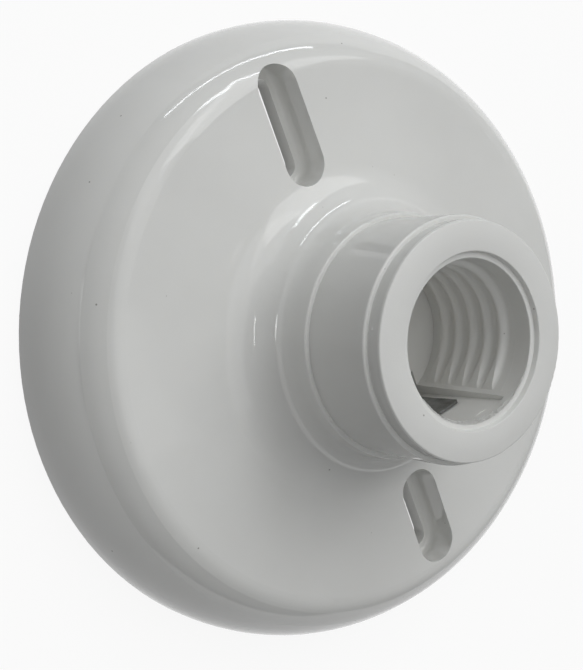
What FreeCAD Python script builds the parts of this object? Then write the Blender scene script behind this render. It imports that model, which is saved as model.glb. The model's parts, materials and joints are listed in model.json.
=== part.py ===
import FreeCAD, Part
import Sketcher
import math
import os
import re

from FreeCAD import Placement, Rotation, Vector

# A keyless lamp holder for a medium screw lamp, for a round outlet box.
#
# Frame: the flat back lies in z = 0, +Z points out of the socket mouth, and the origin is the
# centre of the back.  The two mounting slots lie on the Y axis, the longer one on +Y.  The contact
# channel in the socket wall lies on -Y.  Lengths are millimetres, angles degrees.

doc = FreeCAD.newDocument("LampHolder")
sheet = doc.addObject("Spreadsheet::Sheet", "Sizes")

SIZES = [
    # base
    ("base_radius", 57.9, "outer radius of the domed base"),
    ("wall", 2.8, "thickness of the domed base"),
    ("face_height", 18.42, "height of the flat face at the foot of the flare"),
    ("face_fall", 0.3, "how far the face falls towards its edge"),
    ("side_radius", 24.0, "radius of the rim's side, seen in section"),
    ("side_foot", 0.3, "height of the rim's upright foot, under the side arc"),
    ("shoulder_radius", 12.8, "radius of the rim's shoulder"),
    ("shoulder_angle", 55.0, "angle from vertical where the shoulder ends"),
    ("edge_radius", 5.0, "radius that blends the shoulder into the face"),
    # neck
    ("neck_radius", 20.4, "radius of the glossy part of the neck"),
    ("neck_height", 29.6, "height of the step at the foot of the neck"),
    ("neck_step", 0.8, "width of the step at the foot of the neck"),
    ("flare_radius", 8.9, "radius of the flare between the face and the neck"),
    ("flare_draft", 0.2, "draft of the short cone above the flare"),
    ("collar_height", 43.8, "height of the step at the top of the neck"),
    ("lip_radius", 19.6, "outer radius of the lip"),
    ("lip_height", 46.7, "height of the lip's outer edge"),
    ("lip_crown", 14.0, "radius of the lip's crowned face"),
    ("lip_round", 0.35, "rounding of the lip's outer edge"),
    ("step_round", 0.35, "rounding of the neck's two steps"),
    # socket
    ("mouth_height", 46.94, "height of the mouth's edge"),
    ("mouth_radius", 14.46, "radius of the mouth at its edge"),
    ("mouth_round", 0.15, "rounding of the mouth's edge"),
    ("recess_radius", 14.3, "radius of the shallow recess inside the mouth"),
    ("recess_depth", 0.98, "depth of that recess"),
    ("bore_radius", 13.36, "radius of the plain bore behind the recess"),
    ("bore_end", 42.6, "height where the plain bore ends and the threaded bore starts"),
    ("bore_round", 0.2, "rounding of the bore's front edge"),
    ("floor_height", 22.0, "height of the socket floor"),
    ("floor_thickness", 3.0, "thickness of the socket floor"),
    # moulded thread: 7 threads per inch
    ("thread_radius", 13.18, "radius of the threaded bore between the ridges"),
    ("thread_pitch", 3.629, "pitch of the lamp thread"),
    ("thread_start", 24.6, "height of the first ridge over the channel"),
    ("thread_turns", 4.5, "turns of the moulded thread"),
    ("thread_depth", 0.93, "how far a ridge stands out of the bore"),
    ("thread_width", 3.2, "width of a ridge at the bore"),
    ("thread_root", 0.4, "how far a ridge is rooted in the wall"),
    ("runout_x", 5.4, "distance from the Y axis where the ridges run out beside the channel"),
    ("runout_angle", 45.0, "slope of the run-outs, from the X axis"),
    # contact channel, which runs on through the floor as a window
    ("channel_width", 9.2, "width of the contact channel"),
    ("channel_front", 13.2, "distance of the channel's floor from the axis at its top"),
    ("channel_back", 14.3, "distance of the channel's floor from the axis under the socket"),
    ("channel_top", 44.0, "height of the channel's closed end"),
    ("window_edge", 9.5, "distance of the window's inner edge from the axis"),
    # mounting slots
    ("slot_width", 8.2, "width of the slots at the face"),
    ("slot_floor", 12.0, "height of the ledge in the slots"),
    ("slot_fillet", 1.2, "fillet between the slot wall and the ledge"),
    ("screw_slot_width", 4.6, "width of the through slot for the mounting screw"),
    ("slot_inner", 32.6, "distance of both slots' inner centre from the axis"),
    ("long_slot_inset", 11.8, "distance of the long slot's outer centre from the base's edge"),
    ("short_slot_inset", 14.4, "distance of the short slot's outer centre from the base's edge"),
    ("slot_wall", 2.2, "thickness of the wall round a slot, behind the face"),
    ("slot_seat", 3.0, "thickness of the ledge"),
    # rear of the base
    ("well_radius", 21.5, "radius of the wiring well under the socket floor"),
    ("well_wall", 2.4, "thickness of the well's wall"),
    ("well_depth", 12.0, "height where the well's wall and barrier end"),
    ("barrier_width", 1.8, "thickness of the barrier between the terminals"),
    ("rib_width", 1.8, "thickness of the stiffening ribs"),
    ("rib_depth", 12.0, "height where the ribs end"),
    ("rib_count", 6, "number of stiffening ribs"),
    # terminals, one on each side of the barrier, turned half round from each other
    ("rivet_offset", 7.2, "distance of the rivets and screws from the barrier's middle"),
    ("screw_offset", 14.8, "distance of the terminal screws from the Y axis"),
    ("plate_width", 7.0, "width of the terminal plates"),
    ("plate_thickness", 1.2, "thickness of the terminal plates"),
    ("strip_thickness", 0.5, "thickness of both contact strips"),
    ("rivet_radius", 1.2, "radius of the eyelets' shanks"),
    ("rivet_bore", 0.75, "radius of the hole through the eyelets"),
    ("rivet_head_radius", 1.9, "radius of the eyelets' heads"),
    ("rivet_head", 0.5, "thickness of the eyelets' heads"),
    ("rivet_clearance", 0.05, "clearance round the eyelets"),
    ("screw_radius", 1.75, "radius of the terminal screws' shanks"),
    ("screw_length", 7.0, "length of the terminal screws under the head"),
    ("screw_head_radius", 3.3, "radius of the screw heads"),
    ("screw_head", 1.9, "thickness of the screw heads"),
    ("screw_head_flat", 2.3, "radius of the flat in the middle of the screw heads"),
    ("screw_head_edge", 0.85, "height of the screw heads' upright edge"),
    ("screw_point", 0.6, "length and depth of the chamfer at the screws' ends"),
    ("screw_slot", 1.1, "width of the driver slot"),
    ("screw_slot_depth", 1.0, "depth of the driver slot"),
    ("screw_clearance", 0.06, "clearance of a screw in its plate"),
    ("screw_hole_clearance", 0.5, "clearance of a screw in the moulding"),
    ("screw_hole_depth", 7.5, "depth of the screw's hole above the plate"),
    # side contact
    ("side_width", 5.0, "width of the side contact"),
    ("side_top", 34.8, "height of the side contact's front end"),
    ("side_gap", 0.15, "gap between the side contact and the channel's floor"),
    ("side_corner", 0.6, "rounding of the side contact's front corners"),
    ("side_bend", 0.5, "inner radius of the side contact's fold"),
    ("foot_length", 3.4, "length of the foot beyond the rivet"),
    # centre contact
    ("tongue_width", 5.0, "width of the centre contact"),
    ("tongue_gap", 0.3, "play of the centre contact above and below its root"),
    ("tongue_root", 2.3, "length of the root to each side of the rivet"),
    ("tongue_rise", 2.7, "how far the tongue rises above its root"),
    ("tongue_tip", 1.0, "distance of the contact's crest from the lamp axis"),
    ("tip_drop", 0.9, "how far the tip turns down beyond the crest"),
    ("tip_length", 1.8, "length of the turned-down tip"),
    # cutting
    ("overrun", 1.0, "how far a cut runs on past what it opens"),
]

for row, (alias, value, note) in enumerate(SIZES, start=1):
    sheet.set(f"A{row}", alias)
    sheet.set(f"B{row}", str(value))
    sheet.setAlias(f"B{row}", alias)
    sheet.set(f"C{row}", note)
doc.recompute()

ALIASES = {alias for alias, value, note in SIZES}


def bind(text):
    """The expression with each size's alias read from the sheet."""
    return re.sub(
        r"[A-Za-z_]\w*",
        lambda word: f"Sizes.{word.group()}" if word.group() in ALIASES else word.group(),
        text,
    )


def number(text):
    """The value of an expression in millimetres or degrees."""
    result = sheet.evalExpression(bind(text))
    return float(getattr(result, "Value", result))


# ---------------------------------------------------------------- sketches and features


def new_body(label):
    body = doc.addObject("PartDesign::Body", label)
    body.Label = label
    return body


def sketch_on(body, name, role, height="0", turn=0.0):
    """A sketch on one of the body's origin planes, raised along its normal and turned about Z."""
    sketch = body.newObject("Sketcher::SketchObject", name)
    plane = next(item for item in body.Origin.OriginFeatures if item.Role == role)
    sketch.AttachmentSupport = [(plane, "")]
    sketch.MapMode = "FlatFace"
    if turn:
        sketch.AttachmentOffset = Placement(Vector(), Rotation(Vector(0, 1, 0), turn))
    sketch.setExpression("AttachmentOffset.Base.z", bind(height))
    return sketch


def fix(sketch, kind, where, text):
    """Bind one coordinate or radius to an expression."""
    index = sketch.addConstraint(Sketcher.Constraint(kind, *where, number(text)))
    sketch.setExpression(f"Constraints[{index}]", bind(text))


def fix_point(sketch, edge, end, x, y):
    """Hold a point at x, y, which are expressions."""
    for kind, text, axis in (("DistanceX", x, -2), ("DistanceY", y, -1)):
        if text == "0":
            sketch.addConstraint(Sketcher.Constraint("PointOnObject", edge, end, axis))
        else:
            fix(sketch, kind, (-1, 1, edge, end), text)


def arc_between(start, end, radius):
    """The short arc from start to end, counter-clockwise for a positive radius."""
    chord = end - start
    reach = math.sqrt(max(radius * radius - chord.Length**2 / 4, 0))
    left = Vector(-chord.y, chord.x, 0).normalize()
    centre = (start + end) * 0.5 + left * math.copysign(reach, radius)
    first, last = (start, end) if radius > 0 else (end, start)
    angles = [math.atan2(p.y - centre.y, p.x - centre.x) for p in (first, last)]
    if angles[1] < angles[0]:
        angles[1] += 2 * math.pi
    circle = Part.Circle(centre, Vector(0, 0, 1), abs(radius))
    return Part.ArcOfCircle(circle, *angles)


def outline(sketch, corners):
    """A closed outline through the corners.

    A corner is (x, y), or (x, y, radius) where the edge that leaves it is an arc.  The arc turns
    left for a plain radius and right where the radius is written with a minus sign.
    """
    points = [Vector(number(c[0]), number(c[1]), 0) for c in corners]
    ends = []
    for index, corner in enumerate(corners):
        start, end = points[index], points[(index + 1) % len(points)]
        if len(corner) == 3:
            radius = number(corner[2])
            edge = sketch.addGeometry(arc_between(start, end, radius))
            ends.append((edge, 1, 2) if radius > 0 else (edge, 2, 1))
        else:
            edge = sketch.addGeometry(Part.LineSegment(start, end))
            ends.append((edge, 1, 2))
    for index, (edge, start, _) in enumerate(ends):
        before, _, end = ends[index - 1]
        sketch.addConstraint(Sketcher.Constraint("Coincident", before, end, edge, start))
        fix_point(sketch, edge, start, corners[index][0], corners[index][1])
        if len(corners[index]) == 3:
            fix(sketch, "Radius", (edge,), corners[index][2].lstrip("-"))


def circle(sketch, x, y, radius):
    shape = Part.Circle(Vector(number(x), number(y), 0), Vector(0, 0, 1), number(radius))
    edge = sketch.addGeometry(shape)
    fix_point(sketch, edge, 3, x, y)
    fix(sketch, "Radius", (edge,), radius)


def slot(sketch, start, end, radius):
    """A round-ended slot between two centres, given as pairs of expressions."""
    a = Vector(number(start[0]), number(start[1]), 0)
    b = Vector(number(end[0]), number(end[1]), 0)
    r = number(radius)
    angle = math.atan2(b.y - a.y, b.x - a.x)
    side = Vector(-math.sin(angle), math.cos(angle), 0) * r
    up = Vector(0, 0, 1)
    quarter = math.pi / 2
    near = sketch.addGeometry(Part.ArcOfCircle(Part.Circle(a, up, r), angle + quarter, angle + 3 * quarter))
    far = sketch.addGeometry(Part.ArcOfCircle(Part.Circle(b, up, r), angle - quarter, angle + quarter))
    right = sketch.addGeometry(Part.LineSegment(a - side, b - side))
    left = sketch.addGeometry(Part.LineSegment(b + side, a + side))
    chain = ((near, 2, right, 1), (right, 2, far, 1), (far, 2, left, 1), (left, 2, near, 1))
    for joint in chain:
        sketch.addConstraint(Sketcher.Constraint("Tangent", *joint))
    fix_point(sketch, near, 3, *start)
    fix_point(sketch, far, 3, *end)
    fix(sketch, "Radius", (near,), radius)


def box_corners(x0, y0, x1, y1):
    return [(x0, y0), (x1, y0), (x1, y1), (x0, y1)]


def revolve(body, sketch, name):
    turned = body.newObject("PartDesign::Revolution", name)
    turned.Profile = sketch
    turned.ReferenceAxis = (sketch, ["V_Axis"])
    turned.Angle = 360
    doc.recompute()
    return turned


def pad(body, sketch, name, length, symmetric=False):
    padded = body.newObject("PartDesign::Pad", name)
    padded.Profile = sketch
    padded.setExpression("Length", bind(length))
    if symmetric:
        padded.SideType = "Symmetric"
    doc.recompute()
    return padded


def pocket(body, sketch, name, length, symmetric=False):
    """Cut down from the sketch, against its normal, and make sure that something was cut."""
    before = body.Shape.Volume
    cut = body.newObject("PartDesign::Pocket", name)
    cut.Profile = sketch
    if symmetric:
        cut.SideType = "Symmetric"
    cut.setExpression("Length", bind(length))
    doc.recompute()
    if not body.Shape.Volume < before:
        raise RuntimeError(f"{name} cuts nothing")
    return cut


def round_edges(body, name, radius, wanted):
    """Fillet each edge of the body's tip for which wanted(edge) holds."""
    tip = body.Tip
    names = [f"Edge{i}" for i, edge in enumerate(tip.Shape.Edges, start=1) if wanted(edge)]
    if not names:
        raise RuntimeError(f"{name} finds no edge")
    fillet = body.newObject("PartDesign::Fillet", name)
    fillet.Base = (tip, names)
    fillet.setExpression("Radius", bind(radius))
    doc.recompute()
    return fillet


# ---------------------------------------------------------------- shared heights and places

face_edge = "(face_height - face_fall)"
ceiling = f"({face_edge} - wall)"
floor_under = "(floor_height - floor_thickness)"
plate_top = f"({floor_under} - strip_thickness)"
plate_under = f"({plate_top} - plate_thickness)"
recess_floor = "(mouth_height - recess_depth)"
flare_top = "(neck_radius + neck_step + flare_draft)"

channel_slope = f"((channel_back - channel_front) / (channel_top - {floor_under}))"
long_slot_outer = "(base_radius - long_slot_inset)"
short_slot_outer = "(base_radius - short_slot_inset)"

# The rim is three arcs, one after the other, that share a tangent where they meet.
# The side arc turns from the upright foot until it reaches the shoulder.
edge_z = f"({face_edge} - edge_radius)"
shoulder_z = f"({edge_z} - (shoulder_radius - edge_radius) * sin(shoulder_angle))"
side_angle = f"asin(({shoulder_z} - side_foot) / (side_radius - shoulder_radius))"
side_x = "(base_radius - side_radius)"
shoulder_x = f"({side_x} + (side_radius - shoulder_radius) * cos({side_angle}))"
edge_x = f"({shoulder_x} + (shoulder_radius - edge_radius) * cos(shoulder_angle))"


def rim_point(centre_x, centre_z, radius, angle):
    return f"{centre_x} + ({radius}) * cos({angle})", f"{centre_z} + ({radius}) * sin({angle})"


# ---------------------------------------------------------------- the moulded holder


def holder_profile():
    """Half of the holder's section: x is the distance from the axis, y the height."""
    outer_side = rim_point(side_x, "side_foot", "side_radius", side_angle)
    outer_shoulder = rim_point(shoulder_x, shoulder_z, "shoulder_radius", "shoulder_angle")
    inner_side = rim_point(side_x, "side_foot", "side_radius - wall", side_angle)
    inner_shoulder = rim_point(shoulder_x, shoulder_z, "shoulder_radius - wall", "shoulder_angle")
    base = [
        ("base_radius", "0"),
        ("base_radius", "side_foot", "side_radius"),
        (*outer_side, "shoulder_radius"),
        (*outer_shoulder, "edge_radius"),
        (edge_x, face_edge),
        (f"{flare_top} + flare_radius", "face_height", "-flare_radius"),
        (flare_top, "face_height + flare_radius"),
    ]
    neck = [
        ("neck_radius + neck_step", "neck_height - step_round", "step_round"),
        ("neck_radius + neck_step - step_round", "neck_height"),
        ("neck_radius", "neck_height"),
        ("neck_radius", "collar_height - step_round", "step_round"),
        ("neck_radius - step_round", "collar_height"),
        ("lip_radius", "collar_height"),
        ("lip_radius", "lip_height - lip_round", "lip_round"),
        ("lip_radius - lip_round", "lip_height", "lip_crown"),
    ]
    socket = [
        ("mouth_radius + mouth_round", "mouth_height", "mouth_round"),
        ("mouth_radius", "mouth_height - mouth_round"),
        ("recess_radius", recess_floor),
        ("bore_radius + bore_round", recess_floor, "bore_round"),
        ("bore_radius", f"{recess_floor} - bore_round"),
        ("bore_radius", "bore_end"),
        ("thread_radius", "bore_end"),
        ("thread_radius", "floor_height"),
        ("0", "floor_height"),
    ]
    rear = [
        ("0", floor_under),
        ("well_radius", floor_under),
        ("well_radius", "well_depth"),
        ("well_radius + well_wall", "well_depth"),
        ("well_radius + well_wall", ceiling),
        (edge_x, ceiling, "-(edge_radius - wall)"),
        (*inner_shoulder, "-(shoulder_radius - wall)"),
        (*inner_side, "-(side_radius - wall)"),
        ("base_radius - wall", "side_foot"),
        ("base_radius - wall", "0"),
    ]
    return base + neck + socket + rear


def slot_centres(outer, sign):
    """The centres of a mounting slot's two ends."""
    return ("0", f"{sign}slot_inner"), ("0", f"{sign}{outer}")


def add_slot_seats(body):
    """Oblong seats behind the mounting slots, trimmed to end in the middle of the rim's wall."""
    for name, outer, sign in (("Long", long_slot_outer, ""), ("Short", short_slot_outer, "-")):
        seat = sketch_on(body, f"{name}SeatSketch", "XY_Plane", "slot_floor - slot_seat")
        slot(seat, *slot_centres(outer, sign), "slot_width / 2 + slot_wall")
        pad(body, seat, f"{name}Seat", f"{ceiling} + wall / 2 - slot_floor + slot_seat")
    middle = "wall / 2"
    side = rim_point(side_x, "side_foot", f"side_radius - {middle}", side_angle)
    shoulder = rim_point(shoulder_x, shoulder_z, f"shoulder_radius - {middle}", "shoulder_angle")
    outside = sketch_on(body, "SeatTrimSketch", "XZ_Plane")
    outline(
        outside,
        [
            (f"base_radius - {middle}", "side_foot", f"side_radius - {middle}"),
            (*side, f"shoulder_radius - {middle}"),
            (*shoulder, f"edge_radius - {middle}"),
            (edge_x, f"{face_edge} - {middle}"),
            (edge_x, f"{face_edge} + wall"),
            ("base_radius + wall", f"{face_edge} + wall"),
            ("base_radius + wall", "side_foot"),
        ],
    )
    trim = body.newObject("PartDesign::Groove", "SeatTrim")
    trim.Profile = outside
    trim.ReferenceAxis = (outside, ["V_Axis"])
    trim.Angle = 360
    doc.recompute()


def cut_slots(body):
    """The stepped mounting slots: a wide slot down to the ledge and a narrow one through it."""
    for name, outer, sign in (("Long", long_slot_outer, ""), ("Short", short_slot_outer, "-")):
        centres = slot_centres(outer, sign)
        wide = sketch_on(body, f"{name}SlotSketch", "XY_Plane", "face_height + overrun")
        slot(wide, *centres, "slot_width / 2")
        pocket(body, wide, f"{name}Slot", "face_height + overrun - slot_floor")
        narrow = sketch_on(body, f"{name}ScrewSlotSketch", "XY_Plane", "slot_floor + overrun")
        slot(narrow, *centres, "screw_slot_width / 2")
        pocket(body, narrow, f"{name}ScrewSlot", "slot_seat + 2 * overrun")


def add_ribs(body):
    """Radial ribs from the well to the rim, clear of the slots."""
    rib = sketch_on(body, "RibSketch", "XY_Plane", "rib_depth")
    inner = "well_radius + well_wall / 2"
    outer = f"{edge_x} + edge_radius - wall"
    outline(rib, box_corners(inner, "-rib_width / 2", outer, "rib_width / 2"))
    first = pad(body, rib, "Rib", f"{ceiling} + wall / 2 - rib_depth")
    ring = body.newObject("PartDesign::PolarPattern", "Ribs")
    ring.Originals = [first]
    ring.Axis = (rib, ["N_Axis"])
    ring.Angle = 360
    ring.setExpression("Occurrences", bind("rib_count"))
    body.Tip = ring
    doc.recompute()


def add_terminal_pads(body):
    """The barrier between the terminals, and the raised pads that the plates lie on."""
    barrier = sketch_on(body, "BarrierSketch", "XY_Plane", "well_depth")
    reach = "well_radius + well_wall / 2"
    half = "barrier_width / 2"
    outline(barrier, box_corners(f"-({reach})", f"-{half}", reach, half))
    pad(body, barrier, "Barrier", f"{floor_under} + floor_thickness / 2 - well_depth")
    pads = sketch_on(body, "PadSketch", "XY_Plane", plate_top)
    slot(pads, ("-screw_offset", "rivet_offset"), ("0", "rivet_offset"), "plate_width / 2")
    pad(body, pads, "LinePad", "strip_thickness + floor_thickness / 2")
    pads = sketch_on(body, "NeutralPadSketch", "XY_Plane", plate_top)
    start = "side_width / 2 + side_gap + plate_width / 2"
    slot(pads, (start, "-rivet_offset"), ("screw_offset", "-rivet_offset"), "plate_width / 2")
    pad(body, pads, "NeutralPad", "strip_thickness + floor_thickness / 2")


def add_thread(body):
    """Round ridges that wind up the bore wall as a right-hand thread, from the channel.

    Three arcs of one radius make a ridge: a hollow, the crown and a hollow.
    """
    half = "thread_width / 2"
    run = "thread_width / 4"
    rise = "thread_depth / 2"
    bend = f"((({run}) * ({run}) + ({rise}) * ({rise})) / thread_depth)"
    ridge = sketch_on(body, "RidgeSketch", "XZ_Plane", turn=-90)
    outline(
        ridge,
        [
            ("thread_radius + thread_root", f"thread_start - {half}"),
            ("thread_radius + thread_root", f"thread_start + {half}"),
            ("thread_radius", f"thread_start + {half}", f"-{bend}"),
            (f"thread_radius - {rise}", f"thread_start + {run}", bend),
            (f"thread_radius - {rise}", f"thread_start - {run}", f"-{bend}"),
            ("thread_radius", f"thread_start - {half}"),
        ],
    )
    thread = body.newObject("PartDesign::AdditiveHelix", "Thread")
    thread.Profile = ridge
    thread.ReferenceAxis = (ridge, ["V_Axis"])
    thread.Mode = "pitch-turns-angle"
    thread.setExpression("Pitch", bind("thread_pitch"))
    thread.setExpression("Turns", bind("thread_turns"))
    thread.Angle = 0
    thread.LeftHanded = False
    thread.Reversed = False
    doc.recompute()


def cut_run_outs(body):
    """The ridges run out to points on both sides of the channel, up to the bore wall."""
    foot_y = "sqrt(thread_radius * thread_radius - runout_x * runout_x)"
    reach = f"({foot_y} - window_edge + overrun) / tan(runout_angle)"
    area = sketch_on(body, "RunOutSketch", "XY_Plane", "bore_end")
    outline(
        area,
        [
            ("-runout_x", f"-{foot_y}", "thread_radius"),
            ("runout_x", f"-{foot_y}"),
            (f"runout_x + {reach}", "-(window_edge - overrun)"),
            (f"-(runout_x + {reach})", "-(window_edge - overrun)"),
        ],
    )
    pocket(body, area, "RunOuts", "bore_end - floor_height")


def cut_channel(body):
    """The channel for the side contact, which is a window where it passes the floor."""
    low = f"({floor_under} - overrun)"
    channel = sketch_on(body, "ChannelSketch", "YZ_Plane")
    outline(
        channel,
        [
            (f"-(channel_back + overrun * {channel_slope})", low),
            ("-window_edge", low),
            ("-window_edge", "channel_top"),
            ("-channel_front", "channel_top"),
        ],
    )
    pocket(body, channel, "Channel", "channel_width", symmetric=True)


def cut_fixings(body):
    """The holes for both rivets and both terminal screws."""
    holes = sketch_on(body, "RivetHoleSketch", "XY_Plane", "floor_height + overrun")
    for sign in ("", "-"):
        circle(holes, "0", f"{sign}rivet_offset", "rivet_radius + rivet_clearance")
    pocket(body, holes, "RivetHoles", f"floor_height - {plate_top} + 2 * overrun")
    top = f"{plate_top} + screw_hole_depth"
    holes = sketch_on(body, "ScrewHoleSketch", "XY_Plane", top)
    for x, y in (("-screw_offset", "rivet_offset"), ("screw_offset", "-rivet_offset")):
        circle(holes, x, y, "screw_radius + screw_hole_clearance")
    pocket(body, holes, "ScrewHoles", "screw_hole_depth + overrun")


def round_slot_ledges(body):
    """The fillet where each slot's wall runs into its ledge."""
    height = number("slot_floor")
    half = number("slot_width") / 2

    def on_ledge(edge):
        box = edge.BoundBox
        level = abs(box.ZMin - height) < 1e-4 and abs(box.ZMax - height) < 1e-4
        return level and abs(max(abs(box.XMin), abs(box.XMax)) - half) < 1e-3

    round_edges(body, "LedgeFillets", "slot_fillet", on_ledge)


def make_holder():
    body = new_body("holder_body")
    body.AllowCompound = True
    add_slot_seats(body)
    section = sketch_on(body, "HolderSection", "XZ_Plane")
    outline(section, holder_profile())
    revolve(body, section, "HolderTurned")
    add_ribs(body)
    add_terminal_pads(body)
    cut_slots(body)
    add_thread(body)
    cut_run_outs(body)
    cut_channel(body)
    cut_fixings(body)
    round_slot_ledges(body)
    return body


# ---------------------------------------------------------------- terminals


def make_terminal(label, side):
    """A terminal plate with holes for its rivet and screw.  side is -1 on -X and 1 on +X."""
    x = "screw_offset" if side > 0 else "-screw_offset"
    y = "-rivet_offset" if side > 0 else "rivet_offset"
    start, end = (("0", y), (x, y)) if side > 0 else ((x, y), ("0", y))
    body = new_body(label)
    plate = sketch_on(body, f"{label}_plate", "XY_Plane", plate_under)
    slot(plate, start, end, "plate_width / 2")
    circle(plate, "0", y, "rivet_radius + rivet_clearance")
    circle(plate, x, y, "screw_radius + screw_clearance")
    pad(body, plate, f"{label}_pad", "plate_thickness")
    return body


def make_screw(label, side):
    """A terminal screw, its head under the plate and its shank up into the moulding."""
    body = new_body(label)
    section = sketch_on(body, f"{label}_section", "XZ_Plane")
    head = "screw_head"
    outline(
        section,
        [
            ("0", f"-{head}"),
            ("screw_head_flat", f"-{head}", "screw_head_radius"),
            ("screw_head_radius", "-screw_head_edge"),
            ("screw_head_radius", "0"),
            ("screw_radius", "0"),
            ("screw_radius", "screw_length - screw_point"),
            ("screw_radius - screw_point", "screw_length"),
            ("0", "screw_length"),
        ],
    )
    revolve(body, section, f"{label}_turned")
    driver = sketch_on(body, f"{label}_driver", "XY_Plane", f"screw_slot_depth - {head}")
    reach = "(screw_head_radius + overrun)"
    half = "screw_slot / 2"
    outline(driver, box_corners(f"-{reach}", f"-{half}", reach, half))
    pocket(body, driver, f"{label}_driver_slot", "screw_slot_depth + overrun")
    sign_x, sign_y = ("", "-") if side > 0 else ("-", "")
    body.setExpression("Placement.Base.x", bind(f"{sign_x}screw_offset"))
    body.setExpression("Placement.Base.y", bind(f"{sign_y}rivet_offset"))
    body.setExpression("Placement.Base.z", bind(plate_under))
    doc.recompute()
    return body


def make_rivet(label, y, head_seat):
    """A tubular eyelet from the underside of a terminal plate up to head_seat."""
    body = new_body(label)
    section = sketch_on(body, f"{label}_section", "XZ_Plane")
    outline(
        section,
        [
            ("rivet_bore", f"{plate_under} - rivet_head"),
            ("rivet_head_radius", f"{plate_under} - rivet_head"),
            ("rivet_head_radius", plate_under),
            ("rivet_radius", plate_under),
            ("rivet_radius", head_seat),
            ("rivet_head_radius", head_seat),
            ("rivet_head_radius", f"{head_seat} + rivet_head"),
            ("rivet_bore", f"{head_seat} + rivet_head"),
        ],
    )
    revolve(body, section, f"{label}_turned")
    body.setExpression("Placement.Base.y", bind(y))
    doc.recompute()
    return body


# ---------------------------------------------------------------- contacts


def make_side_contact():
    """A strip that leans along the channel's floor and is folded under the socket floor."""
    body = new_body("side_contact")
    side = sketch_on(body, "SideSection", "YZ_Plane")
    back = f"-(channel_back - floor_thickness * {channel_slope} - side_gap)"
    front = f"({back} + strip_thickness)"
    lean = f"((side_top - floor_height) * {channel_slope})"
    foot_end = "-(rivet_offset - foot_length)"
    outline(
        side,
        [
            (f"{back} + side_bend + strip_thickness", plate_top),
            (foot_end, plate_top),
            (foot_end, floor_under),
            (f"{front} + side_bend", floor_under, "-side_bend"),
            (front, f"{floor_under} + side_bend"),
            (front, "floor_height"),
            (f"{front} + {lean}", "side_top"),
            (f"{back} + {lean}", "side_top"),
            (back, "floor_height"),
            (back, f"{floor_under} + side_bend", "side_bend + strip_thickness"),
        ],
    )
    pad(body, side, "SideStrip", "side_width", symmetric=True)
    hole = sketch_on(body, "SideHoleSketch", "XY_Plane", "floor_height")
    circle(hole, "0", "-rivet_offset", "rivet_radius + rivet_clearance")
    pocket(body, hole, "SideHole", f"floor_height - {plate_top} + overrun")
    top = number("side_top")
    half = number("side_width") / 2

    def at_corner(edge):
        box = edge.BoundBox
        across = box.YLength > 1e-3 and box.XLength < 1e-4 and box.ZLength < 1e-4
        return across and abs(box.ZMin - top) < 1e-4 and abs(abs(box.XMin) - half) < 1e-4

    round_edges(body, "SideCorners", "side_corner", at_corner)
    return body


def make_centre_contact():
    """A spring tongue, rocked on its rivet, whose crest meets the tip of the lamp."""
    body = new_body("centre_contact")
    side = sketch_on(body, "TongueSection", "YZ_Plane")
    low = "(floor_height + tongue_gap)"
    high = f"({low} + strip_thickness)"
    root_in = "(rivet_offset - tongue_root)"
    root_out = "(rivet_offset + tongue_root)"
    crest = f"({low} + tongue_rise)"
    outline(
        side,
        [
            (root_out, low),
            (root_out, high),
            (root_in, high),
            ("tongue_tip", f"{crest} + strip_thickness", "tip_length"),
            ("tongue_tip - tip_length", f"{crest} + strip_thickness - tip_drop"),
            ("tongue_tip - tip_length", f"{crest} - tip_drop", "-tip_length"),
            ("tongue_tip", crest),
            (root_in, low),
        ],
    )
    pad(body, side, "Tongue", "tongue_width", symmetric=True)
    hole = sketch_on(body, "TongueHoleSketch", "XY_Plane", f"{high} + tongue_gap")
    circle(hole, "0", "rivet_offset", "rivet_radius + tongue_gap")
    pocket(body, hole, "TongueHole", "2 * tongue_gap + strip_thickness")
    return body


# ---------------------------------------------------------------- build, check and write

centre_head_seat = "(floor_height + 2 * tongue_gap + strip_thickness)"

parts = [
    make_holder(),
    make_side_contact(),
    make_centre_contact(),
    make_terminal("line_terminal", -1),
    make_terminal("neutral_terminal", 1),
    make_screw("line_screw", -1),
    make_screw("neutral_screw", 1),
    make_rivet("centre_rivet", "rivet_offset", centre_head_seat),
    make_rivet("side_rivet", "-rivet_offset", "floor_height"),
]
doc.recompute()

for item in doc.Objects:
    if {"Invalid", "Error"} & set(item.State):
        raise RuntimeError(f"{item.Name} failed: {item.State}")
for part in parts:
    if part.Shape.isNull() or not part.Shape.isValid():
        raise RuntimeError(f"{part.Label} has no valid shape")
    if len(part.Shape.Solids) != 1:
        raise RuntimeError(f"{part.Label} is {len(part.Shape.Solids)} solids")

os.makedirs("parts", exist_ok=True)
for part in parts:
    part.Shape.exportStep(f"parts/{part.Label}.step")
    print(part.Label, round(part.Shape.Volume, 2), "mm3", part.Shape.BoundBox)
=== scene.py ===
# %% [markdown]
# # A moulded lamp holder
#
# The object is a plain ceiling and wall lamp holder: one piece of glossy white moulding
# compound with a domed base, a flared neck and a threaded socket, and a few small metal
# parts inside. The construction comes in finished, so this lesson is about its surfaces,
# its light and the small traces that moulding leaves.

# %% Load the construction
import json
import math
import random

import bmesh
import bpy
from mathutils import Matrix, Vector


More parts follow.
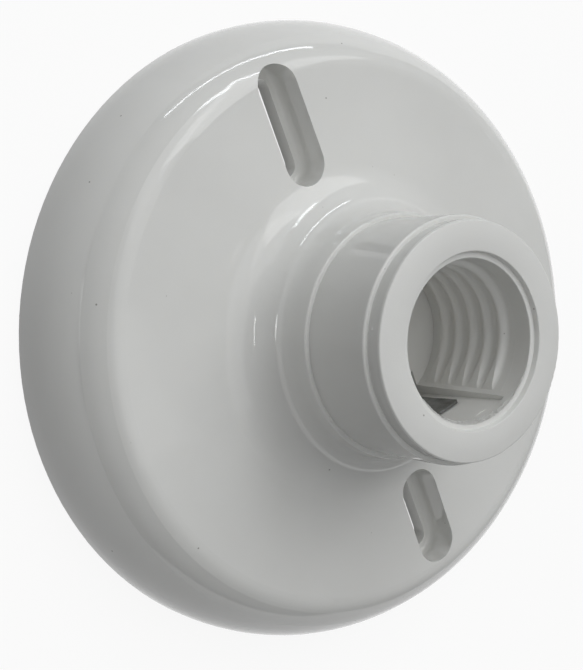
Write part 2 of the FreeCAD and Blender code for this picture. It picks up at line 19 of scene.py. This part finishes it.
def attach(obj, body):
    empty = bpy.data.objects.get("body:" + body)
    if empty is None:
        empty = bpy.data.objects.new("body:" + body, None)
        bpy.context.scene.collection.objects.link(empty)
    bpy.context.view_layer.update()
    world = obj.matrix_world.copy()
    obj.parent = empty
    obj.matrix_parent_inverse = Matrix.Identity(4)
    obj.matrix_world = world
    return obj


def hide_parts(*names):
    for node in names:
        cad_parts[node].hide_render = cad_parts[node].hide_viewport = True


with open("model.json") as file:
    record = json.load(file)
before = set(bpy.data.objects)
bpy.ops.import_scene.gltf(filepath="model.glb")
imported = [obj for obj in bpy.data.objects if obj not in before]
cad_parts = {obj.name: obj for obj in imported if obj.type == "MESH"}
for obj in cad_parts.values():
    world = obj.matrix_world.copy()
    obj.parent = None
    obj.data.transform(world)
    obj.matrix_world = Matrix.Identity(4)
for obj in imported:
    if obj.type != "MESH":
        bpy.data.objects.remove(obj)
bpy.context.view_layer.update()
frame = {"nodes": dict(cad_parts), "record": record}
print("pieces:", sorted(frame["nodes"]))

# %% [markdown]
# ## Camera
#
# The holder lies on its back and the camera looks down at it from the left, so that the
# picture shows the face, the neck and a little of the thread. A camera could be turned with
# three angles. Here its own right, up and forward directions are written down instead,
# because they are easier to check: each is one column of the turning matrix.

# %% Camera
camera_data = bpy.data.cameras.new("camera")
camera_data.lens = 64.48
camera_data.sensor_width = 36
camera_data.clip_start = 0.005
camera_data.clip_end = 20
camera = bpy.data.objects.new("camera", camera_data)
bpy.context.scene.collection.objects.link(camera)
right = Vector((0.7517, -0.3315, 0.5701))
up = Vector((0.4314, 0.9010, -0.0450))
forward = Vector((0.4988, -0.2797, -0.8203))
turn = Matrix((right, up, -forward)).transposed()
camera.matrix_world = Matrix.Translation((-0.1174, 0.0644, 0.1875)) @ turn.to_4x4()
bpy.context.scene.camera = camera
bpy.context.scene.view_settings.view_transform = "Standard"
print("camera stands", round(camera.location.length, 3), "m from the holder's middle")

# %% [markdown]
# ## Helpers for materials
#
# A colour in a picture editor is an sRGB value, and shaders work with linear light, so one
# function turns a hex value into a linear colour. A second one adds a node, sets its
# values and links its inputs in one call.


# %% Colour and node helpers
def colour(hex_value):
    """A linear RGBA colour from an sRGB hex value such as c8c8c6."""
    channels = [int(hex_value[i:i + 2], 16) / 255 for i in (0, 2, 4)]
    linear = [c / 12.92 if c <= 0.04045 else ((c + 0.055) / 1.055) ** 2.4 for c in channels]
    return (*linear, 1.0)


def add(tree, kind, settings=None, **inputs):
    """Adds a node to a material's or the sky's tree. An input is a value or an output to link."""
    node = tree.nodes.new(kind)
    for name, value in (settings or {}).items():
        setattr(node, name, value)
    for name, value in inputs.items():
        key = int(name[1:]) if name[0] == "i" and name[1:].isdigit() else name.replace("_", " ")
        if isinstance(value, bpy.types.NodeSocket):
            tree.links.new(value, node.inputs[key])
        else:
            node.inputs[key].default_value = value
    return node


def new_material(name):
    """An empty node material, and the tree its nodes go in."""
    material = bpy.data.materials.new(name)
    material.use_nodes = True
    material.node_tree.nodes.clear()
    return material, material.node_tree


def dress(name, material):
    """Gives a CAD node its finish."""
    piece = frame["nodes"][name]
    piece.data.materials.clear()
    piece.data.materials.append(material)


print("white paper would be", [round(c, 3) for c in colour("f0f0ee")])

# %% [markdown]
# ## Floor, backdrop and light
#
# A plain pale floor carries the holder. Its white could come from strong lamps, but those
# would also bleach the plastic. Instead the Light Path node shows white to camera, glossy and
# transmission rays, and grey paper to the rays that light the holder. The light is a dim sky,
# three large soft lamps from above, and four narrow ones. A bright streak on glossy plastic is
# the reflection of a lamp, so each narrow lamp stands where the surface mirrors it.

# %% Floor
mm = 0.001  # one millimetre, in metres
floor_half = 4  # metres from the middle to each edge
floor_drop = 0.02 * mm  # keeps the floor and the holder's foot from sharing a plane
white_share = 0.9
paper, tree = new_material("matt_paper_floor")
path = add(tree, "ShaderNodeLightPath")
seen = add(tree, "ShaderNodeMath", {"operation": "MAXIMUM"}, i0=path.outputs["Is Camera Ray"],
           i1=path.outputs["Is Glossy Ray"])
seen = add(tree, "ShaderNodeMath", {"operation": "MAXIMUM"}, i0=seen.outputs[0],
           i1=path.outputs["Is Transmission Ray"])
# The object is lit by plain grey paper. What is seen is nine tenths white and one tenth lit
# white paper, which keeps a soft shadow.
matt = add(tree, "ShaderNodeBsdfDiffuse", Color=colour("6c6c6b"), Roughness=0.0)
white_paper = add(tree, "ShaderNodeBsdfDiffuse", Color=colour("f2f2f0"), Roughness=0.0)
white = add(tree, "ShaderNodeEmission", Color=(1, 1, 1, 1), Strength=1.0)
shaded = add(tree, "ShaderNodeMixShader", i0=white_share, i1=white_paper.outputs[0],
             i2=white.outputs[0])
mixed = add(tree, "ShaderNodeMixShader", i0=seen.outputs[0], i1=matt.outputs[0],
            i2=shaded.outputs[0])
# From underneath the paper is clear, so that it doesn't hide the holder's back.
underside = add(tree, "ShaderNodeNewGeometry").outputs["Backfacing"]
clear = add(tree, "ShaderNodeBsdfTransparent")
mixed = add(tree, "ShaderNodeMixShader", i0=underside, i1=mixed.outputs[0], i2=clear.outputs[0])
add(tree, "ShaderNodeOutputMaterial", Surface=mixed.outputs[0])

floor_mesh = bpy.data.meshes.new("floor")
shape = bmesh.new()
bmesh.ops.create_grid(shape, x_segments=1, y_segments=1, size=floor_half)
bmesh.ops.translate(shape, verts=shape.verts, vec=(0, 0, -floor_drop))
shape.to_mesh(floor_mesh)
shape.free()
floor = bpy.data.objects.new("floor", floor_mesh)
bpy.context.scene.collection.objects.link(floor)
floor_mesh.materials.append(paper)
print("floor at z =", -floor_drop, "m, edge", 2 * floor_half, "m")

# %% Sky
sky_dim, sky_bright = 0.13, 0.32  # strength away from the bright side, and towards it
bright_side = (0.45, 0.25, 0.86)
world = bpy.data.worlds.new("studio_sky")
bpy.context.scene.world = world
world.use_nodes = True
world.node_tree.nodes.clear()
tree = world.node_tree
direction = add(tree, "ShaderNodeTexCoord").outputs["Generated"]
toward = add(tree, "ShaderNodeVectorMath", {"operation": "DOT_PRODUCT"}, i0=direction,
             i1=bright_side)
level = add(tree, "ShaderNodeMapRange", {"interpolation_type": "SMOOTHSTEP"},
            Value=toward.outputs["Value"], From_Min=-0.4, From_Max=1.0, To_Min=sky_dim,
            To_Max=sky_bright)
sky = add(tree, "ShaderNodeBackground", Color=(0.97, 0.985, 1.0, 1), Strength=level.outputs[0])
add(tree, "ShaderNodeOutputWorld", Surface=sky.outputs[0])
print("sky strength:", sky_dim, "to", sky_bright)


# %% Lamps
neck_middle = Vector((0, 0, 0.02))
cool = (0.93, 0.97, 1.0)  # the tint of daylight


def window(name, azimuth, elevation, distance, width, height, power, tint=(1, 1, 1)):
    """A flat lamp that faces the neck. Angles are in degrees, azimuth from +X, sizes in metres."""
    lamp_data = bpy.data.lights.new(name, "AREA")
    lamp_data.shape = "RECTANGLE"
    lamp_data.size = width
    lamp_data.size_y = height
    lamp_data.energy = power
    lamp_data.color = tint
    lamp = bpy.data.objects.new(name, lamp_data)
    bpy.context.scene.collection.objects.link(lamp)
    a, e = math.radians(azimuth), math.radians(elevation)
    aim = Vector((math.cos(e) * math.cos(a), math.cos(e) * math.sin(a), math.sin(e)))
    facing = aim.to_track_quat("Z", "Y").to_matrix().to_4x4()
    lamp.matrix_world = Matrix.Translation(neck_middle + distance * aim) @ facing


window("key_softbox", 40, 50, 1.6, 1.0, 1.0, 5.9)
window("second_softbox", 80, 55, 1.6, 1.0, 1.0, 2.7)
window("ceiling_softbox", 0, 89, 1.6, 1.2, 1.2, 3.1)
window("low_window", 66, 6, 1.5, 1.3, 0.045, 2.1, cool)
window("high_window", 63, 36, 1.5, 0.5, 0.1, 1.6, cool)
window("left_low_strip", 151, 2, 1.5, 0.5, 0.03, 0.9)
window("left_high_strip", 155, 48, 1.5, 0.4, 0.04, 0.5)

# %% [markdown]
# ## White moulding compound
#
# The holder is urea moulding compound, a hard thermosetting plastic. It takes the polish of
# the mould: the rim, the face, the flare and the neck are as glossy as glazed china, while
# the crowned lip and the socket come from a part of the mould with a fine satin finish.
# A plain glossy shader would look like flat paint. Real moulding has slow waves from its
# shrinkage, a faint clouding of the pigment, and a few dark grains of burnt powder, and
# light goes a short way into it. Each of these is one small pattern, in millimetres.

# %% White moulding compound
plastic, tree = new_material("urea_compound_moulded_white")
place = add(tree, "ShaderNodeTexCoord").outputs["Object"]
flat_place = add(tree, "ShaderNodeVectorMath", {"operation": "MULTIPLY"}, i0=place, i1=(1, 1, 0))
from_axis = add(tree, "ShaderNodeVectorMath", {"operation": "LENGTH"}, i0=flat_place.outputs[0])
height = add(tree, "ShaderNodeSeparateXYZ", i0=place).outputs["Z"]
# The satin parts: the lip's crown above about 46 mm, and all within 14.5 mm of the lamp axis.
on_lip = add(tree, "ShaderNodeMapRange", Value=height, From_Min=45.6 * mm, From_Max=46.6 * mm)
in_socket = add(tree, "ShaderNodeMapRange", Value=from_axis.outputs["Value"], From_Min=14.7 * mm,
                From_Max=14.3 * mm)
satin = add(tree, "ShaderNodeMath", {"operation": "MAXIMUM"}, i0=on_lip.outputs[0],
            i1=in_socket.outputs[0]).outputs[0]
# Clouds of pigment about 22 mm across, very faint.
clouds = add(tree, "ShaderNodeTexNoise", Vector=place, Scale=1 / (22 * mm), Detail=3.0,
             Roughness=0.55)
tone = add(tree, "ShaderNodeMix", {"data_type": "RGBA"}, i0=clouds.outputs["Fac"],
           i6=colour("dfdfdc"), i7=colour("ebebe8"))
# Burnt grains up to 0.4 mm across: one in each cell of 5.5 mm, seen where the surface cuts it.
grains = add(tree, "ShaderNodeTexVoronoi", {"feature": "F1"}, Vector=place, Scale=1 / (5.5 * mm))
grain = add(tree, "ShaderNodeMapRange", Value=grains.outputs["Distance"], From_Min=0.018,
            From_Max=0.036, To_Min=0.65, To_Max=0.0)
skin_colour = add(tree, "ShaderNodeMix", {"data_type": "RGBA"}, i0=grain.outputs[0],
                  i6=tone.outputs[2], i7=colour("5e564c"))
# Finger marks 9 mm across change the gloss a little.
marks = add(tree, "ShaderNodeTexNoise", Vector=place, Scale=1 / (9 * mm), Detail=4.0, Roughness=0.6)
gloss = add(tree, "ShaderNodeMapRange", Value=marks.outputs["Fac"], From_Min=0.3, From_Max=0.7,
            To_Min=0.045, To_Max=0.10)
skin_roughness = add(tree, "ShaderNodeMix", {"data_type": "FLOAT"}, i0=satin, i2=gloss.outputs[0],
                     i3=0.42)
# Shrinkage waves 7 mm long and about 10 micrometres high. The satin's spark grain is finer in
# reality than the 0.5 mm it is drawn at, which makes it show.
waves = add(tree, "ShaderNodeTexNoise", Vector=place, Scale=1 / (7 * mm), Detail=1.0)
wavy = add(tree, "ShaderNodeBump", Strength=0.5, Distance=0.06 * mm, Height=waves.outputs["Fac"])
spark = add(tree, "ShaderNodeTexNoise", Vector=place, Scale=1 / (0.5 * mm), Detail=2.0)
spark_height = add(tree, "ShaderNodeMath", {"operation": "MULTIPLY"}, i0=spark.outputs["Fac"],
                   i1=satin)
grained = add(tree, "ShaderNodeBump", Strength=0.35, Distance=0.02 * mm,
              Height=spark_height.outputs[0], Normal=wavy.outputs[0])
compound = add(tree, "ShaderNodeBsdfPrincipled", Base_Color=skin_colour.outputs[2],
               Roughness=skin_roughness.outputs[0], IOR=1.5, Normal=grained.outputs[0],
               Subsurface_Weight=0.12, Subsurface_Radius=(1.0, 0.95, 0.85),
               Subsurface_Scale=1.2 * mm)
add(tree, "ShaderNodeOutputMaterial", Surface=compound.outputs[0])
print("moulding compound:", len(tree.nodes), "nodes")

# %% [markdown]
# ## The moulding's skin
#
# The construction's mesh has the exact form, but where the bore wall shows between two
# ridges of the thread, a few of its triangles jump straight across the socket. It is left
# alone, and a merged copy of it stands for it. The copy keeps the exact surface directions
# that came with the mesh. The wrong triangles are found by their edges, which leave the
# wall, and the two rows of points beside them are bridged anew along the wall.


# %% Merged copy with its exact directions
def distance(point):
    """Distance from the lamp axis."""
    return math.hypot(point.x, point.y)


def bearing(point):
    """Direction from the lamp axis, in degrees from +X, from 0 up to 360."""
    return math.degrees(math.atan2(point.y, point.x)) % 360


source = frame["nodes"]["holder_body"].data
skin_mesh = source.copy()
skin_mesh.name = "holder_skin"
directions = [0.0] * (3 * len(source.loops))
source.corner_normals.foreach_get("vector", directions)
skin_mesh.attributes.new("exact", "FLOAT_VECTOR", "CORNER").data.foreach_set("vector", directions)
shape = bmesh.new()
shape.from_mesh(skin_mesh)
exact = shape.loops.layers.float_vector["exact"]
bmesh.ops.remove_doubles(shape, verts=shape.verts, dist=0.001 * mm)
print("merged points:", len(shape.verts), "faces:", len(shape.faces))


# %% Bore wall between the ridges
crest_radius, wall_radius = 12 * mm, 13.3 * mm  # just inside the crests, just outside the wall
thread_bottom, thread_top = 22 * mm, 42.8 * mm
true_sag = 0.05 * mm  # more than a right edge's middle ever leaves the wall
row_rise = 0.2 * mm  # more than a row rises from one point to the next
row_step = 2.5 * mm  # more than two points of a row lie apart


def leaves_wall(edge):
    """True where an edge cuts across the socket instead of following its wall."""
    ends = [distance(v.co) for v in edge.verts]
    middle = distance((edge.verts[0].co + edge.verts[1].co) / 2)
    return min(ends) > crest_radius and max(ends) < wall_radius and middle < min(ends) - true_sag


wrong = [face for face in shape.faces
         if any(leaves_wall(edge) for edge in face.edges)
         and all(thread_bottom < v.co.z < thread_top for v in face.verts)]
print("triangles that leave the wall:", len(wrong))
bmesh.ops.delete(shape, geom=wrong, context="FACES")
rows = [edge for edge in shape.edges
        if edge.is_boundary and abs(edge.verts[0].co.z - edge.verts[1].co.z) < row_rise]
patches = []
while rows:
    patch, near = [], [rows.pop()]
    while near:
        edge = near.pop()
        patch.append(edge)
        for other in [o for o in rows if (o.verts[0].co - edge.verts[0].co).length < row_step]:
            rows.remove(other)
            near.append(other)
    patches.append(patch)
for patch in patches:
    new_faces = bmesh.ops.bridge_loops(shape, edges=patch)["faces"]
    bmesh.ops.recalc_face_normals(shape, faces=new_faces)
    for face in new_faces:
        middle = face.calc_center_median()
        if face.normal.dot(Vector((middle.x, middle.y, 0))) > 0:
            face.normal_flip()
        face.smooth = True
        for loop in face.loops:
            loop[exact] = -Vector((loop.vert.co.x, loop.vert.co.y, 0)).normalized()
open_edges = sum(edge.is_boundary for edge in shape.edges)
print("patches bridged:", [len(patch) for patch in patches], "open edges left:", open_edges)

# %% [markdown]
# The construction keeps a step of a fifth of a millimetre where the plain bore meets the
# threaded one, as a place to measure from. No such line shows on the real moulding, so the
# step's inner ring is eased outwards until almost nothing of it is left.

# %% Soft change from plain to threaded bore
bore_end, threaded_radius, eased_radius = 42.6 * mm, 13.18 * mm, 13.34 * mm
inner_ring = [v for v in shape.verts if abs(v.co.z - bore_end) < 0.01 * mm
              and abs(distance(v.co) - threaded_radius) < 0.02 * mm]
for vert in inner_ring:
    vert.co.xy *= eased_radius / threaded_radius
print("points eased:", len(inner_ring))

# %% [markdown]
# ## Flash at the bore's edge
#
# Where two parts of a mould meet, a little compound creeps between them and leaves a thin
# ragged skin, called flash. Here it hangs on the lower edge of the bore. It could be a
# painted pattern, but it breaks the outline, so it is real shape: an arc of a circle,
# drawn out inwards in uneven steps.
#
# One fault is left here. Solidify should give the skin the thickness of paper, but it moves
# points along their own directions, and these are not worked out before it runs. So the
# two sides lie on each other, and the rim between them has no area.

# %% Flash
flash_radius, flash_height = 13.62 * mm, 45.93 * mm
flash_start, flash_end = 196, 318  # degrees from +X
flash = bmesh.new()
bmesh.ops.create_circle(flash, segments=300, radius=flash_radius, cap_ends=False)
bmesh.ops.translate(flash, verts=flash.verts, vec=(0, 0, flash_height))
elsewhere = [v for v in flash.verts if not flash_start < bearing(v.co) < flash_end]
bmesh.ops.delete(flash, geom=elsewhere, context="VERTS")
chance = random.Random(4)
drawn = bmesh.ops.extrude_edge_only(flash, edges=flash.edges)["geom"]
inner_edge = [g for g in drawn if isinstance(g, bmesh.types.BMVert)]
reach = 0.2  # how far the skin hangs inwards, in millimetres, changed a little at each point
for vert in sorted(inner_edge, key=lambda v: bearing(v.co)):
    angle = bearing(vert.co)
    reach = min(0.75, max(0.05, reach + chance.uniform(-0.16, 0.16)))
    if chance.random() < 0.12:
        reach = chance.uniform(0.1, 0.7)
    fade = min(1, (angle - flash_start) / 20, (flash_end - angle) / 25)
    vert.co.xy *= 1 - (0.3 + reach * fade) * mm / flash_radius
    vert.co.z += chance.uniform(-0.05, 0.10) * mm
bmesh.ops.solidify(flash, geom=flash.faces, thickness=0.14 * mm)
bmesh.ops.recalc_face_normals(flash, faces=flash.faces)
flash_mesh = bpy.data.meshes.new("flash")
flash.to_mesh(flash_mesh)
flash_points = len(flash.verts)
flash.free()
shape.from_mesh(flash_mesh)
bpy.data.meshes.remove(flash_mesh)
print("flash points:", flash_points)

# %% Finished skin
shape.to_mesh(skin_mesh)
shape.free()
corners = [0.0] * (3 * len(skin_mesh.loops))
skin_mesh.attributes["exact"].data.foreach_get("vector", corners)
skin_mesh.attributes.remove(skin_mesh.attributes["exact"])
skin_mesh.normals_split_custom_set([corners[i:i + 3] for i in range(0, len(corners), 3)])
skin_mesh.materials.clear()
skin_mesh.materials.append(plastic)
skin = bpy.data.objects.new("holder_skin", skin_mesh)
bpy.context.scene.collection.objects.link(skin)
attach(skin, "holder")
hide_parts("holder_body")
dress("holder_body", plastic)
print("skin faces:", len(skin_mesh.polygons))

# %% [markdown]
# ## Metals
#
# The contacts are thin spring strip, and sheet, eyelets and screws make up the terminals.
# All of them are bare or plated metal, so their colour is the colour of their reflection.
# What tells them apart is tint, how smooth the rolls left them, and tarnish. Strip and
# sheet carry fine rolling lines along their length. A terminal's screw has its plate's
# finish, as the record's material slots say.


# %% Metal finishes
def metal(name, bright, dull, smooth, rough, line_stretch):
    """A metal with rolling lines 0.3 mm apart, coarser than real ones so that they show, and tarnish.

    line_stretch is small along the axis that the lines follow.
    """
    material, tree = new_material(name)
    place = add(tree, "ShaderNodeTexCoord").outputs["Object"]
    along = add(tree, "ShaderNodeMapping", Vector=place, Scale=line_stretch)
    lines = add(tree, "ShaderNodeTexNoise", Vector=along.outputs[0], Scale=1 / (0.3 * mm),
                Detail=3.0)
    tarnish = add(tree, "ShaderNodeTexNoise", Vector=place, Scale=1 / (2.5 * mm), Detail=4.0,
                  Roughness=0.6)
    spread = add(tree, "ShaderNodeMapRange", Value=tarnish.outputs["Fac"], From_Min=0.35,
                 From_Max=0.7)
    tint = add(tree, "ShaderNodeMix", {"data_type": "RGBA"}, i0=spread.outputs[0],
               i6=colour(bright), i7=colour(dull))
    streak = add(tree, "ShaderNodeMapRange", Value=lines.outputs["Fac"], From_Min=0.35,
                 From_Max=0.68, To_Min=smooth, To_Max=rough)
    relief = add(tree, "ShaderNodeBump", Strength=0.4, Distance=0.006 * mm,
                 Height=lines.outputs["Fac"])
    shader = add(tree, "ShaderNodeBsdfPrincipled", Base_Color=tint.outputs[2], Metallic=1.0,
                 Roughness=streak.outputs[0], Normal=relief.outputs[0])
    add(tree, "ShaderNodeOutputMaterial", Surface=shader.outputs[0])
    return material


# Bright nickel over spring steel: a cool, dark mirror with lines up the strip.
spring_nickel = metal("nickel_plated_spring_rolled", "8f908f", "5f605f", 0.08, 0.26, (1, 1, 0.03))
# Phosphor bronze, rolled: warm and a little dull, with lines along the tongue.
spring_bronze = metal("phosphor_bronze_rolled", "c08f5e", "8a6138", 0.22, 0.40, (1, 0.03, 1))
# Brass sheet and eyelets, tumbled after pressing: yellow and soft.
brass = metal("brass_pressed_and_tumbled", "d0ad62", "9a7a3c", 0.24, 0.42, (0.05, 1, 1))
# Barrel-plated nickel over steel, on the pale terminal's plate and screw: an even grain, no lines.
plated_steel = metal("nickel_plated_steel_turned", "c2bfb6", "9c9a93", 0.18, 0.32, (1, 1, 1))
finishes = {"nickel_plated_spring": spring_nickel, "bronze_spring": spring_bronze,
            "terminal_brass": brass, "nickel_plated_steel": plated_steel}
for part in frame["record"]["subparts"]:
    if part["material_slot"] in finishes:
        dress(part["node"], finishes[part["material_slot"]])
print("metal finishes:", sorted(finishes))
